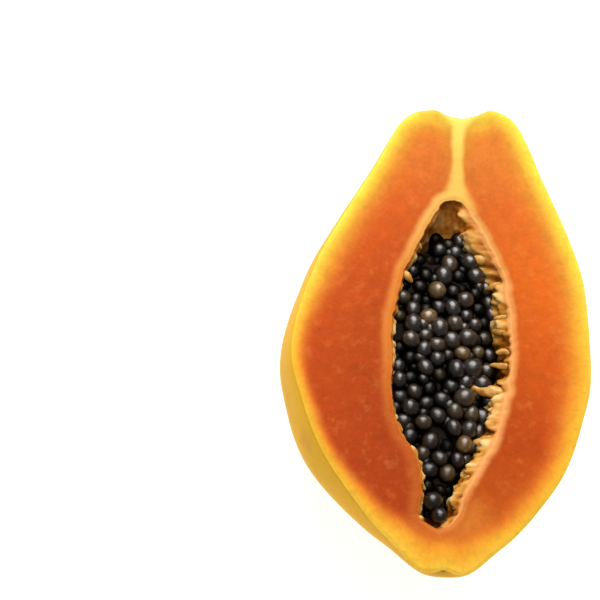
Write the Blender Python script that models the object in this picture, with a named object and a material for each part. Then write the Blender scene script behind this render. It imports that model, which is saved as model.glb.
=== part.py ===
"""Half a ripe papaya, cut lengthwise, lying on its back with the cut face up.

Metres, +Z up, stem end along +Y. The origin is on the resting spot, under the middle of the fruit's box.
Two pieces: the fruit half (skin, flesh and cavity wall, grown as one) and the seeds that fill its cavity.
"""

import math
import random

import bmesh
import bpy
from mathutils import Euler, Matrix, Vector

# The whole fruit before the cut: (distance from its long axis, station along Y), from the stem's dimple over
# the shoulder and the belly to the blossom scar.
FRUIT_OUTLINE = [
    (0.0000, 0.0831),
    (0.0055, 0.0844),
    (0.0118, 0.0864),
    (0.0217, 0.0813),
    (0.0323, 0.0613),
    (0.0430, 0.0413),
    (0.0513, 0.0213),
    (0.0565, -0.0087),
    (0.0525, -0.0287),
    (0.0441, -0.0487),
    (0.0290, -0.0687),
    (0.0188, -0.0785),
    (0.0085, -0.0870),
    (0.0000, -0.0860),
]
OUTLINE_STEPS = 34
ROUND_STEPS = 44

# The fruit is a little bent: its belly hangs below the knife's plane, and both its ends turn to +X.
CUT_HEIGHT = 0.0618
BELLY_SAG = 0.0080
BELLY_STATION = -0.0211
STEM_END_STATION = 0.0831
BLOSSOM_END_STATION = -0.0860
STEM_TURN = 0.0042
BLOSSOM_TURN = 0.0030
TURN_REACH = 0.0350
WIDEST_STATION = -0.0087

# Five carpels leave five faint ribs along the skin, and the one low on the -X side is the fullest.
RIB_COUNT = 5
RIB_SHARE = 0.007
RIB_GIRTH = (0.012, 0.035)
FULL_RIB_HEIGHT = 0.0034
FULL_RIB_STATION = -0.0481
FULL_RIB_LENGTH = 0.0240
FULL_RIB_ANGLE = math.radians(-70)
FULL_RIB_SPREAD = math.radians(22)

# The shoulder round the stem's dimple stands higher on the +X side.
SLANT = 0.14
SLANT_REACH = 0.0240

# The cavity's mouth on the cut face: (half width, station along Y), and its wandering middle line.
MOUTH_OUTLINE = [
    (0.0000, 0.0514),
    (0.0044, 0.0496),
    (0.0098, 0.0418),
    (0.0151, 0.0317),
    (0.0198, 0.0199),
    (0.0224, 0.0039),
    (0.0226, -0.0124),
    (0.0205, -0.0281),
    (0.0180, -0.0370),
    (0.0139, -0.0436),
    (0.0113, -0.0485),
    (0.0095, -0.0540),
    (0.0080, -0.0600),
    (0.0076, -0.0650),
    (0.0058, -0.0688),
    (0.0000, -0.0718),
]
MOUTH_MIDDLE = [
    (0.0021, 0.0522),
    (0.0027, 0.0440),
    (0.0037, 0.0280),
    (0.0030, 0.0060),
    (0.0033, -0.0110),
    (0.0025, -0.0320),
    (0.0036, -0.0436),
    (0.0036, -0.0485),
    (0.0026, -0.0545),
    (0.0010, -0.0625),
    (0.0001, -0.0670),
    (0.0004, -0.0725),
]
MOUTH_STEPS = 38
FINE_MOUTH_STEPS = 120
CAVITY_ROUND_STEPS = 18
CAVITY_DEPTH_RATIO = 1.25
CAVITY_RIDGES = 7
CAVITY_RIDGE_HEIGHT = 0.0003

# Seeds in their glossy skins, heaped to just under the cut face, lower along the +X wall and the stem end.
SEED_HALF_LENGTH = 0.0035
SEED_HALF_WIDTH = 0.0031
SEED_SIDES = 6
SEED_RINGS = 5
SEED_SIZES = (0.84, 1.06)
SMALL_SEED_SHARE = 0.70
SMALL_SEED_ROOM = (0.003, 0.009)
SEED_DRAW = 11
UPPER_SEEDS = 108
UPPER_SPACING = 0.96
CROWDED_SPACING = 0.72
SPREAD_ROUNDS = 60
LOWER_TRIES = 1500
LOWER_SPACING = 0.86
LOWER_LAYER_DROP = 0.0026
WALL_GAP = 0.0003
WALL_SAMPLES = 4
WALL_TRIES = 14
WALL_PULL = 0.93
END_GAP = 0.0020
HEAP_TOP = -0.0008
HEAP_ROUGHNESS = 0.0011
HEAP_SIDE_FALL = 0.0058
HEAP_SIDE_START = 0.25
HEAP_STEM_FALL = 0.0042
HEAP_STEM_STATION = 0.0385
HEAP_STEM_SLOPE_LENGTH = 0.0200
HEAP_BLOSSOM_STATION = -0.0680

# The dark pulp that the seeds stand in.
CORE_DROP = 0.0044
CORE_STEPS = 30
CORE_ROUND_STEPS = 10
CORE_WALL_GAP = 0.0017
CORE_WIDTH_SHARE = 0.96
CORE_LEAST_HEIGHT = 0.0004
ROOT_SINK = 0.0008

CURVE_SUBSTEPS = 24
SHARP_ANGLE = math.radians(40)
WELD = 0.00001


def curve_point(a, b, c, d, t):
    """A point of the smooth (Catmull-Rom) curve between b and c."""
    cubic = 3 * b - a - 3 * c + d
    square = 2 * a - 5 * b + 4 * c - d
    return 0.5 * (2 * b + (c - a) * t + square * t**2 + cubic * t**3)


def smooth_points(points, count):
    """Evenly spaced points on the smooth curve through the given ones."""
    knots = [Vector(p) for p in points]
    ends = [2 * knots[0] - knots[1], *knots, 2 * knots[-1] - knots[-2]]
    dense = []
    for a, b, c, d in zip(ends, ends[1:], ends[2:], ends[3:]):
        for i in range(CURVE_SUBSTEPS):
            dense.append(curve_point(a, b, c, d, i / CURVE_SUBSTEPS))
    dense.append(knots[-1])
    lengths = [0.0]
    for a, b in zip(dense, dense[1:]):
        lengths.append(lengths[-1] + (b - a).length)
    even = []
    j = 0
    for i in range(count + 1):
        goal = lengths[-1] * i / count
        while j < len(dense) - 2 and lengths[j + 1] < goal:
            j += 1
        share = (goal - lengths[j]) / (lengths[j + 1] - lengths[j])
        even.append(dense[j].lerp(dense[j + 1], share))
    return even


def value_at(curve, station):
    """The first value of a curve of (value, falling station) points at one station."""
    for a, b in zip(curve, curve[1:]):
        if b.y <= station <= a.y and b.y < a.y:
            return a.x + (b.x - a.x) * (a.y - station) / (a.y - b.y)
    return 0.0


def smooth_step(low, high, x):
    t = min(max((x - low) / (high - low), 0.0), 1.0)
    return t * t * (3 - 2 * t)


def belly_sag(station):
    """How far the fruit's own axis lies below the cut face: nothing at either end."""
    end = STEM_END_STATION if station > BELLY_STATION else BLOSSOM_END_STATION
    share = (station - BELLY_STATION) / (end - BELLY_STATION)
    return BELLY_SAG * max(1 - share * share, 0.0)


def end_turn(station):
    """How far the fruit's axis has turned aside to +X at a station."""
    turn = STEM_TURN if station > WIDEST_STATION else BLOSSOM_TURN
    return turn * (1 - math.exp(-(((station - WIDEST_STATION) / TURN_REACH) ** 2)))


def rib_height(radius, down, station):
    """How far the skin swells there. down is the angle round the fruit's axis, 0 at the bottom."""
    girth = smooth_step(*RIB_GIRTH, radius)
    along = (station - FULL_RIB_STATION) / FULL_RIB_LENGTH
    around = (down - FULL_RIB_ANGLE) / FULL_RIB_SPREAD
    full_rib = FULL_RIB_HEIGHT * math.exp(-along * along - around * around)
    return girth * (radius * RIB_SHARE * math.cos(RIB_COUNT * down) + full_rib)


def material(name, colour, roughness):
    finish = bpy.data.materials.new(name)
    finish.use_nodes = True
    shader = finish.node_tree.nodes["Principled BSDF"]
    shader.inputs["Base Color"].default_value = (*colour, 1.0)
    shader.inputs["Roughness"].default_value = roughness
    shader.inputs["Metallic"].default_value = 0.0
    return finish


def turned(bm, outline, angle, steps):
    """Spins an outline of (radius, station) points round the Y axis, and returns the new vertices."""
    chain = [bm.verts.new((p.x, p.y, 0.0)) for p in outline]
    edges = [bm.edges.new(pair) for pair in zip(chain, chain[1:])]
    full = angle > 2 * math.pi - WELD
    before = set(bm.verts) - set(chain)
    bmesh.ops.spin(
        bm, geom=chain + edges, cent=(0, 0, 0), axis=(0, 1, 0), angle=angle, steps=steps, use_merge=full
    )
    fresh = [v for v in bm.verts if v not in before]
    bmesh.ops.remove_doubles(bm, verts=fresh, dist=WELD)
    return [v for v in bm.verts if v not in before]


def finished_object(name, bm, finish):
    bmesh.ops.recalc_face_normals(bm, faces=bm.faces)
    mesh = bpy.data.meshes.new(name)
    bm.to_mesh(mesh)
    bm.free()
    mesh.materials.append(finish)
    mesh.shade_smooth()
    mesh.set_sharp_from_angle(angle=SHARP_ANGLE)
    thing = bpy.data.objects.new(name, mesh)
    bpy.context.scene.collection.objects.link(thing)
    return thing


def add_fruit_skin(bm):
    """The whole fruit as it grew: spun, ribbed, a little bent and slanted at the stem."""
    for v in turned(bm, smooth_points(FRUIT_OUTLINE, OUTLINE_STEPS), 2 * math.pi, ROUND_STEPS):
        station = v.co.y
        radius = math.hypot(v.co.x, v.co.z)
        down = math.atan2(v.co.x, -v.co.z)
        swell = rib_height(radius, down, station) / max(radius, WELD)
        if station > 0:
            v.co.y += SLANT * v.co.x * max(1 - (radius / SLANT_REACH) ** 2, 0.0)
        v.co.x = v.co.x * (1 + swell) + end_turn(station)
        v.co.z = v.co.z * (1 + swell) + CUT_HEIGHT - belly_sag(station)


def add_cavity_wall(bm):
    """The hollow where the seeds sit: a half spindle below the cut face, with the placenta's low ridges."""
    middle = smooth_points(MOUTH_MIDDLE, MOUTH_STEPS)
    mouth = smooth_points(MOUTH_OUTLINE, MOUTH_STEPS)
    for v in turned(bm, mouth, math.pi, CAVITY_ROUND_STEPS):
        radius = math.hypot(v.co.x, v.co.z)
        round_angle = math.atan2(-v.co.z, v.co.x)
        depth_share = math.sin(round_angle) if radius > WELD else 0.0
        ridge = CAVITY_RIDGE_HEIGHT * math.cos(2 * CAVITY_RIDGES * round_angle) * depth_share
        swell = 1 + ridge / max(radius, SEED_HALF_WIDTH)
        v.co.x = v.co.x * swell + value_at(middle, v.co.y)
        v.co.z = -abs(v.co.z) * swell * CAVITY_DEPTH_RATIO + CUT_HEIGHT


def slice_off(bm, height, direction):
    """Cuts at a height and drops what lies beyond it in that direction. Returns the cut's edges."""
    everything = bm.verts[:] + bm.edges[:] + bm.faces[:]
    cut = bmesh.ops.bisect_plane(
        bm, geom=everything, dist=WELD, plane_co=(0, 0, height), plane_no=(0, 0, direction), clear_outer=True
    )
    return [e for e in cut["geom_cut"] if isinstance(e, bmesh.types.BMEdge)]


def make_papaya_half():
    """Skin, flesh and cavity wall in one solid: the knife takes the top off, and the back is rested flat."""
    bm = bmesh.new()
    add_fruit_skin(bm)
    slice_off(bm, CUT_HEIGHT, 1)
    rest_edges = slice_off(bm, 0.0, -1)
    bmesh.ops.edgenet_fill(bm, edges=rest_edges)
    add_cavity_wall(bm)
    rims = [e for e in bm.edges if e.is_boundary]
    bmesh.ops.triangle_fill(bm, use_beauty=True, use_dissolve=False, edges=rims)
    flesh = material("papaya_flesh", (0.58, 0.10, 0.012), 0.42)
    return finished_object("papaya_half", bm, flesh)


def heap_level(across, station):
    """Height of the seed heap's top under the cut face. across runs from -1 to 1 over the mouth."""
    side = HEAP_SIDE_FALL * smooth_step(HEAP_SIDE_START, 1.0, across)
    slope_start = HEAP_STEM_STATION - HEAP_STEM_SLOPE_LENGTH
    stem = HEAP_STEM_FALL * smooth_step(slope_start, HEAP_STEM_STATION, station)
    return HEAP_TOP - side - stem


def is_inside(mouth, middle, centre, reach):
    """True if a ball of that reach stays inside the cavity wall, tested round its lower outer side."""
    for step in range(-WALL_SAMPLES, WALL_SAMPLES + 1):
        along = reach * step / WALL_SAMPLES
        ring = math.sqrt(reach * reach - along * along)
        half_width = value_at(mouth, centre.y + along) + WELD
        away = abs(centre.x - value_at(middle, centre.y + along))
        for quarter in range(WALL_SAMPLES + 1):
            angle = math.pi / 2 * quarter / WALL_SAMPLES
            across = away + ring * math.cos(angle)
            depth = CUT_HEIGHT - centre.z + ring * math.sin(angle)
            if math.hypot(across, depth / CAVITY_DEPTH_RATIO) > half_width:
                return False
    return True


def drawn_in(mouth, middle, centre, size):
    """A seed's centre, drawn in from the wall until the seed is clear of it, or None if it never is."""
    centre_line = value_at(middle, centre.y)
    for _ in range(WALL_TRIES):
        if is_inside(mouth, middle, centre, SEED_HALF_LENGTH * size + WALL_GAP):
            return centre
        centre = Vector((centre_line + (centre.x - centre_line) * WALL_PULL, centre.y, centre.z))
    return None


def draw_spots(draw, mouth, count):
    """Random spots over the cavity's mouth: [distance from its middle, station, seed size]."""
    spots = []
    while len(spots) < count:
        station = draw.uniform(HEAP_BLOSSOM_STATION + END_GAP, HEAP_STEM_STATION)
        half_width = value_at(mouth, station)
        aside = draw.uniform(-1, 1) * mouth_width(mouth)
        wide = smooth_step(*SMALL_SEED_ROOM, half_width)
        size = draw.uniform(*SEED_SIZES) * (SMALL_SEED_SHARE + (1 - SMALL_SEED_SHARE) * wide)
        if abs(aside) < half_width:
            spots.append([aside, station, size])
    return spots


def mouth_width(mouth):
    return max(p.x for p in mouth)


def spread_out(spots, mouth):
    """Pushes spots that stand too close apart, round by round, and keeps them inside the mouth."""
    for _ in range(SPREAD_ROUNDS):
        for i, a in enumerate(spots):
            for b in spots[:i]:
                reach = UPPER_SPACING * (SEED_HALF_LENGTH + SEED_HALF_WIDTH) * (a[2] + b[2]) / 2
                away = Vector((a[0] - b[0], a[1] - b[1]))
                if 0 < away.length < reach:
                    push = away.normalized() * (reach - away.length) / 2
                    a[0] += push.x
                    a[1] += push.y
                    b[0] -= push.x
                    b[1] -= push.y
            a[1] = min(max(a[1], HEAP_BLOSSOM_STATION + END_GAP), HEAP_STEM_STATION)
            room = max(value_at(mouth, a[1]) - SEED_HALF_LENGTH * a[2] - WALL_GAP, 0.0)
            a[0] = min(max(a[0], -room), room)


def has_room(seeds, centre, size, nearest):
    """True if a seed there keeps that share of its own length from each seed already placed."""
    spacing = nearest * (SEED_HALF_LENGTH + SEED_HALF_WIDTH) / 2
    return all((centre - other).length > spacing * (size + s) for other, s, _ in seeds)


def place_seeds():
    """An upper layer of seeds shaken apart, then a lower one in its gaps: (centre, size, turn) of each."""
    draw = random.Random(SEED_DRAW)
    mouth = smooth_points(MOUTH_OUTLINE, FINE_MOUTH_STEPS)
    middle = smooth_points(MOUTH_MIDDLE, FINE_MOUTH_STEPS)
    upper = draw_spots(draw, mouth, UPPER_SEEDS)
    spread_out(upper, mouth)
    lower = draw_spots(draw, mouth, LOWER_TRIES)
    seeds = []
    for number, (aside, station, size) in enumerate(upper + lower):
        in_lower = number >= UPPER_SEEDS
        drop = LOWER_LAYER_DROP if in_lower else 0.0
        nearest = LOWER_SPACING if in_lower else CROWDED_SPACING
        most_bump = 2 * SEED_HALF_WIDTH * size - CORE_DROP - ROOT_SINK
        bump = min(draw.uniform(-HEAP_ROUGHNESS, HEAP_ROUGHNESS), most_bump)
        turn = Euler([draw.uniform(-math.pi, math.pi) for _ in range(3)])
        level = heap_level(aside / value_at(mouth, station), station)
        below = level + bump - drop - SEED_HALF_WIDTH * size
        centre = Vector((aside + value_at(middle, station), station, CUT_HEIGHT + below))
        if not has_room(seeds, centre, size, nearest):
            continue
        centre = drawn_in(mouth, middle, centre, size)
        if centre and has_room(seeds, centre, size, nearest):
            seeds.append((centre, size, turn))
    return seeds


def make_seed(centre, size, turn, collection):
    """One seed: a ball a little longer than it is wide."""
    half_length = SEED_HALF_LENGTH * size
    half_width = SEED_HALF_WIDTH * size
    bm = bmesh.new()
    bmesh.ops.create_uvsphere(bm, u_segments=SEED_SIDES, v_segments=SEED_RINGS, radius=1.0)
    bmesh.ops.scale(bm, vec=(half_length, half_width, half_width), verts=bm.verts)
    place = Matrix.Translation(centre) @ turn.to_matrix().to_4x4()
    bmesh.ops.transform(bm, matrix=place, verts=bm.verts)
    mesh = bpy.data.meshes.new("seed")
    bm.to_mesh(mesh)
    bm.free()
    collection.objects.link(bpy.data.objects.new("seed", mesh))


def core_ring(half_width, middle, station):
    """One ring of the pulp: along the cavity's wall below, and along the heap's level above."""
    room = half_width - CORE_WALL_GAP
    deep_room = room + half_width * (CAVITY_DEPTH_RATIO - 1)
    under = []
    over = []
    for k in range(CORE_ROUND_STEPS + 1):
        across = -math.cos(math.pi * k / CORE_ROUND_STEPS) * CORE_WIDTH_SHARE
        floor = -deep_room * math.sqrt(1 - across * across)
        top = max(heap_level(across, station) - CORE_DROP, floor + CORE_LEAST_HEIGHT)
        x = middle + across * room
        under.append(Vector((x, station, CUT_HEIGHT + floor)))
        over.append(Vector((x, station, CUT_HEIGHT + top)))
    return under + over[-2:0:-1]


def make_core(finish):
    """The pulp: the cavity's own shape, smaller and lower."""
    bm = bmesh.new()
    middle = smooth_points(MOUTH_MIDDLE, FINE_MOUTH_STEPS)
    mouth = smooth_points(MOUTH_OUTLINE, FINE_MOUTH_STEPS)
    rings = []
    for i in range(CORE_STEPS + 1):
        station = HEAP_STEM_STATION + (HEAP_BLOSSOM_STATION - HEAP_STEM_STATION) * i / CORE_STEPS
        ring = core_ring(value_at(mouth, station), value_at(middle, station), station)
        rings.append([bm.verts.new(p) for p in ring])
    for a, b in zip(rings, rings[1:]):
        for i in range(len(a)):
            j = (i + 1) % len(a)
            bm.faces.new((a[i], a[j], b[j], b[i]))
    bm.faces.new(rings[0])
    bm.faces.new(list(reversed(rings[-1])))
    return finished_object("seeds", bm, finish)


def make_seeds():
    """All seeds and the pulp between them, joined in one body."""
    core = make_core(material("papaya_seeds", (0.020, 0.016, 0.012), 0.28))
    heap = bpy.data.collections.new("seed_heap")
    bpy.context.scene.collection.children.link(heap)
    for centre, size, turn in place_seeds():
        make_seed(centre, size, turn, heap)
    join = core.modifiers.new("join_seeds", "BOOLEAN")
    join.operation = "UNION"
    join.operand_type = "COLLECTION"
    join.collection = heap
    join.solver = "EXACT"
    view = bpy.context.evaluated_depsgraph_get()
    joined = bpy.data.meshes.new_from_object(core.evaluated_get(view))
    core.modifiers.clear()
    core.data = joined
    for seed in list(heap.objects):
        bpy.data.objects.remove(seed)
    bpy.data.collections.remove(heap)
    return core


for old in list(bpy.data.objects):
    bpy.data.objects.remove(old)
make_papaya_half()
make_seeds()
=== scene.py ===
"""Half a ripe papaya, cut lengthwise, lying on its back on a pale table under soft studio light.

Metres, +Z up, stem end along +Y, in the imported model's own frame.
"""

import math
import random

import bmesh
import bpy
from mathutils import Euler, Matrix, Vector, kdtree, noise


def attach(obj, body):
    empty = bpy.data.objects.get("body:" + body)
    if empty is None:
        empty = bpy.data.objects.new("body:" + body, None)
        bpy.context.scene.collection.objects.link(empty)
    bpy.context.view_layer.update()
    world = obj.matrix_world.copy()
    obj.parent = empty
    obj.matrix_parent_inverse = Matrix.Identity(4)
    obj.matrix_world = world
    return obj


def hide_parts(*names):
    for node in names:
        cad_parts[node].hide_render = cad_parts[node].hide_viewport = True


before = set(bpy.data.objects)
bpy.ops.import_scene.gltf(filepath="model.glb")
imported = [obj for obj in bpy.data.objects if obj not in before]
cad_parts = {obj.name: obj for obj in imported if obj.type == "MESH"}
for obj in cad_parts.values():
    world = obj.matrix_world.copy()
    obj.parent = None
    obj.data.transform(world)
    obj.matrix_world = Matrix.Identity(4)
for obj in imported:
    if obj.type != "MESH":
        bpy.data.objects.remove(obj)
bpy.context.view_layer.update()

# The camera. A long lens looks down on the cut face from 1.1 m away, from over the blossom end and a little
# to the -X side, so that the skin shows along the fruit's lower left edge.
EYE = Vector((-0.2689, -0.3030, 1.0852))
AIM = Vector((-0.0536, 0.0070, 0.0618))
PICTURE_UP = Vector((-0.1032, 0.9617, 0.2540))
LENS = 183.3
SENSOR_WIDTH = 36.0
CLIP_START = 0.05

back = (EYE - AIM).normalized()
up = (PICTURE_UP - PICTURE_UP.dot(back) * back).normalized()
right = up.cross(back)
camera_data = bpy.data.cameras.new("camera")
camera_data.lens = LENS
camera_data.sensor_width = SENSOR_WIDTH
camera_data.clip_start = CLIP_START
camera = bpy.data.objects.new("camera", camera_data)
camera.matrix_world = Matrix.Translation(EYE) @ Matrix((right, up, back)).transposed().to_4x4()
bpy.context.scene.collection.objects.link(camera)
bpy.context.scene.camera = camera


# The fruit half. Skin, flesh and the cavity's lining grew as one, and one knife stroke from the stem's dimple
# to the blossom scar laid them open. The skin is turned from the fruit's outline, and the cut face and the
# cavity are drawn out of its rim ring by ring.
FRUIT_OUTLINE = [
    (0.0000, 0.0831),
    (0.0055, 0.0844),
    (0.0118, 0.0864),
    (0.0217, 0.0813),
    (0.0323, 0.0613),
    (0.0430, 0.0413),
    (0.0513, 0.0213),
    (0.0565, -0.0087),
    (0.0525, -0.0287),
    (0.0441, -0.0487),
    (0.0290, -0.0687),
    (0.0188, -0.0785),
    (0.0085, -0.0870),
    (0.0000, -0.0860),
]
CUT_HEIGHT = 0.0618
BELLY_SAG = 0.0080
BELLY_STATION = -0.0211
STEM_END_STATION = 0.0831
BLOSSOM_END_STATION = -0.0860
STEM_TURN = 0.0042
BLOSSOM_TURN = 0.0030
TURN_REACH = 0.0350
WIDEST_STATION = -0.0087
RIB_COUNT = 5
RIB_SHARE = 0.007
RIB_GIRTH = (0.012, 0.035)
RIM_ROUNDS = 4
FULL_RIB_HEIGHT = 0.0034
FULL_RIB_STATION = -0.0481
FULL_RIB_LENGTH = 0.0240
FULL_RIB_ANGLE = math.radians(-70)
FULL_RIB_SPREAD = math.radians(22)
SLANT = 0.14
SLANT_REACH = 0.0240
MOUTH_OUTLINE = [
    (0.0000, 0.0514),
    (0.0044, 0.0496),
    (0.0098, 0.0418),
    (0.0151, 0.0317),
    (0.0198, 0.0199),
    (0.0224, 0.0039),
    (0.0226, -0.0124),
    (0.0205, -0.0281),
    (0.0180, -0.0370),
    (0.0139, -0.0436),
    (0.0113, -0.0485),
    (0.0095, -0.0540),
    (0.0080, -0.0600),
    (0.0076, -0.0650),
    (0.0058, -0.0688),
    (0.0000, -0.0718),
]
MOUTH_MIDDLE = [
    (0.0021, 0.0522),
    (0.0027, 0.0440),
    (0.0037, 0.0280),
    (0.0030, 0.0060),
    (0.0033, -0.0110),
    (0.0025, -0.0320),
    (0.0036, -0.0436),
    (0.0036, -0.0485),
    (0.0026, -0.0545),
    (0.0010, -0.0625),
    (0.0001, -0.0670),
    (0.0004, -0.0725),
]
CAVITY_DEPTH_RATIO = 1.25
LENGTH_STEPS = 200
ROUND_STEPS = 84
FACE_RINGS = 34
WALL_RINGS = 44
WALL_RING_CROWDING = 1.6
CURVE_SUBSTEPS = 24
WELD = 0.00001

# Small forms, in metres: how far each stands out of or sinks into the plain shape.
TABLE_SOFTNESS = 0.0006
SKIN_DENTS = 0.00015
SKIN_DENT_SIZE = 0.011
SKIN_DENT_SINK = 0.5
STEM_SCAR = Vector((0.0040, 0.0831, 0.0530))
STEM_SCAR_RADIUS = 0.0042
STEM_SCAR_RIDGE = 0.0005
STEM_SCAR_RIDGE_WIDTH = 0.0008
STEM_SCAR_RIDGE_SIZE = 0.0020
BLOSSOM_SCAR = Vector((0.0028, -0.0860, 0.0618))
BLOSSOM_SCAR_RADIUS = 0.0016
RIM_DROP = 0.00035
RIM_DROP_REACH = 0.0008
FACE_WAVES = 0.00015
FACE_WAVE_SIZE = 0.014
FACE_WAVE_SINK = 0.6
LINING_WIDTH = 0.0026
LINING_RISE = 0.00010
LINING_CRUMB_SIZE = 0.0016
MOUTH_DROP = 0.0004
MOUTH_DROP_REACH = 0.0009
WALL_DROP_REACH = 0.0020
MOUTH_RAGGED = 0.0008
MOUTH_RAGGED_SIZE = 0.0042
MOUTH_RAGGED_ROOM = 0.004
MOUTH_RAGGED_SLICE = Vector((0, 0, 7))
MOUTH_TORN = 0.0003
MOUTH_TORN_SIZE = 0.0016

# The placenta on the cavity's wall: it swells out below the lip, most on the +X side, in lumps that run down.
# Each lump noise is so many times as fine as the lumps' size, and so strong.
LUMP_LENGTH = 0.0060
LUMP_WIDTH = 0.0034
LUMP_NOISES = ((0.42, 0.8), (1.0, 0.7), (2.6, 0.4))
LEFT_SWELLING = (0.0009, 0.0014)
RIGHT_SWELLING = (0.0018, 0.0036)
STEM_SWELLING = 0.0026
STEM_SWELLING_STATIONS = (0.0180, 0.0340)
LIP_DEPTH = (-0.0010, 0.0028)
SWELLING_DEPTH = (0.0080, 0.0160)
SWELLING_ROOM = 0.010

SKIN, FLESH, LINING = range(3)


def curve_point(a, b, c, d, t):
    """A point between b and c of the smooth curve that runs through all four."""
    cubic = 3 * b - a - 3 * c + d
    square = 2 * a - 5 * b + 4 * c - d
    return 0.5 * (2 * b + (c - a) * t + square * t**2 + cubic * t**3)


def smooth_points(points, count):
    """Evenly spaced points on the smooth curve through the given ones."""
    knots = [Vector(p) for p in points]
    ends = [2 * knots[0] - knots[1], *knots, 2 * knots[-1] - knots[-2]]
    dense = []
    for a, b, c, d in zip(ends, ends[1:], ends[2:], ends[3:]):
        for i in range(CURVE_SUBSTEPS):
            dense.append(curve_point(a, b, c, d, i / CURVE_SUBSTEPS))
    dense.append(knots[-1])
    lengths = [0.0]
    for a, b in zip(dense, dense[1:]):
        lengths.append(lengths[-1] + (b - a).length)
    even = []
    j = 0
    for i in range(count + 1):
        goal = lengths[-1] * i / count
        while j < len(dense) - 2 and lengths[j + 1] < goal:
            j += 1
        share = (goal - lengths[j]) / (lengths[j + 1] - lengths[j])
        even.append(dense[j].lerp(dense[j + 1], share))
    return even


def value_at(curve, station):
    """The first value of a curve of (value, falling station) points at one station."""
    for a, b in zip(curve, curve[1:]):
        if b.y <= station <= a.y and b.y < a.y:
            return a.x + (b.x - a.x) * (a.y - station) / (a.y - b.y)
    return 0.0


def smooth_step(low, high, x):
    t = min(max((x - low) / (high - low), 0.0), 1.0)
    return t * t * (3 - 2 * t)


def fade(distance, reach):
    """1 at no distance, falling to nothing a little past reach."""
    return math.exp(-((distance / reach) ** 2))


def belly_sag(station):
    """How far the fruit's own axis lies below the cut face: nothing at either end."""
    end = STEM_END_STATION if station > BELLY_STATION else BLOSSOM_END_STATION
    share = (station - BELLY_STATION) / (end - BELLY_STATION)
    return BELLY_SAG * max(1 - share * share, 0.0)


def end_turn(station):
    """How far the fruit's axis has turned aside to +X at a station."""
    turn = STEM_TURN if station > WIDEST_STATION else BLOSSOM_TURN
    return turn * (1 - fade(station - WIDEST_STATION, TURN_REACH))


def rib_height(radius, down, station):
    """How far the skin swells there. down is the angle round the fruit's axis, 0 at the bottom."""
    girth = smooth_step(*RIB_GIRTH, radius)
    along = fade(station - FULL_RIB_STATION, FULL_RIB_LENGTH)
    around = fade(down - FULL_RIB_ANGLE, FULL_RIB_SPREAD)
    return girth * (radius * RIB_SHARE * math.cos(RIB_COUNT * down) + FULL_RIB_HEIGHT * along * around)


def skin_point(radius, station, share):
    """A point of the turned outline on the grown fruit. share runs from -1 to 1, from rim to rim."""
    sag = belly_sag(station)
    side = math.copysign(1, share)
    reach = max(radius, WELD)
    for _ in range(RIM_ROUNDS):
        rim = math.pi / 2 + math.asin(min(sag / reach, 1.0))
        reach = max(radius + rib_height(radius, side * rim, station), WELD)
    down = share * rim
    reach = radius + rib_height(radius, down, station)
    slanted = max(1 - (radius / SLANT_REACH) ** 2, 0.0) if station > 0 else 0.0
    slant = SLANT * radius * math.sin(down) * slanted
    x = reach * math.sin(down) + end_turn(station)
    z = CUT_HEIGHT - sag - reach * math.cos(down)
    return Vector((x, station + slant, z))


def mouth_point(mouth, middle, share, side):
    """A point of the cavity's mouth on the cut face, share of the way along one side, a little ragged."""
    place = mouth[round(share * LENGTH_STEPS)]
    centre = value_at(middle, place.y)
    spot = Vector((centre + side * place.x, place.y, 0.0))
    torn = noise.noise(spot / MOUTH_RAGGED_SIZE + MOUTH_RAGGED_SLICE) * MOUTH_RAGGED
    torn += noise.noise(spot / MOUTH_TORN_SIZE) * MOUTH_TORN
    return spot + Vector((side * torn * min(place.x / MOUTH_RAGGED_ROOM, 1.0), 0.0, 0.0))


def wall_lump(spot):
    """How lumpy the soft placenta is there, from 0 in a hollow to 1 on a lump."""
    scaled = Vector((spot.x / LUMP_LENGTH, spot.y / LUMP_WIDTH, spot.z / LUMP_LENGTH))
    lump = sum((strength * noise.noise(scaled * fineness) for fineness, strength in LUMP_NOISES), 0.5)
    return min(max(lump, 0.0), 1.0)


def turned_skin(bm, side_layer, share_layer):
    """Turns the outline half way round, from one rim under the fruit to the other."""
    chain = []
    for i, p in enumerate(smooth_points(FRUIT_OUTLINE, LENGTH_STEPS)):
        v = bm.verts.new((p.x, p.y, 0.0))
        v[share_layer] = i / LENGTH_STEPS
        chain.append(v)
    edges = [bm.edges.new(pair) for pair in zip(chain, chain[1:])]
    bmesh.ops.spin(bm, geom=chain + edges, cent=(0, 0, 0), axis=(0, 1, 0), angle=math.pi, steps=ROUND_STEPS)
    bmesh.ops.remove_doubles(bm, verts=bm.verts, dist=WELD)
    for v in bm.verts:
        radius = math.hypot(v.co.x, v.co.z)
        share = math.atan2(v.co.x, abs(v.co.z)) / (math.pi / 2) if radius > WELD else 0.0
        if v.is_boundary:
            v[side_layer] = round(share)
        v.co = skin_point(radius, v.co.y, share)
    return [e for e in bm.edges if e.is_boundary]


def drawn_ring(bm, rim, material_index):
    """Draws the open rim out into one more ring of faces, and returns its new open edges."""
    ring = bmesh.ops.extrude_edge_only(bm, edges=rim)["geom"]
    for part in ring:
        if isinstance(part, bmesh.types.BMFace):
            part.material_index = material_index
    return [e for e in ring if isinstance(e, bmesh.types.BMEdge) and e.is_boundary]


def ring_verts(rim):
    return {v for e in rim for v in e.verts}


half = bmesh.new()
share_layer = half.verts.layers.float.new("share")
side_layer = half.verts.layers.float.new("side")
rim = turned_skin(half, side_layer, share_layer)
mouth = smooth_points(MOUTH_OUTLINE, LENGTH_STEPS)
middle = smooth_points(MOUTH_MIDDLE, LENGTH_STEPS)

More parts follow.
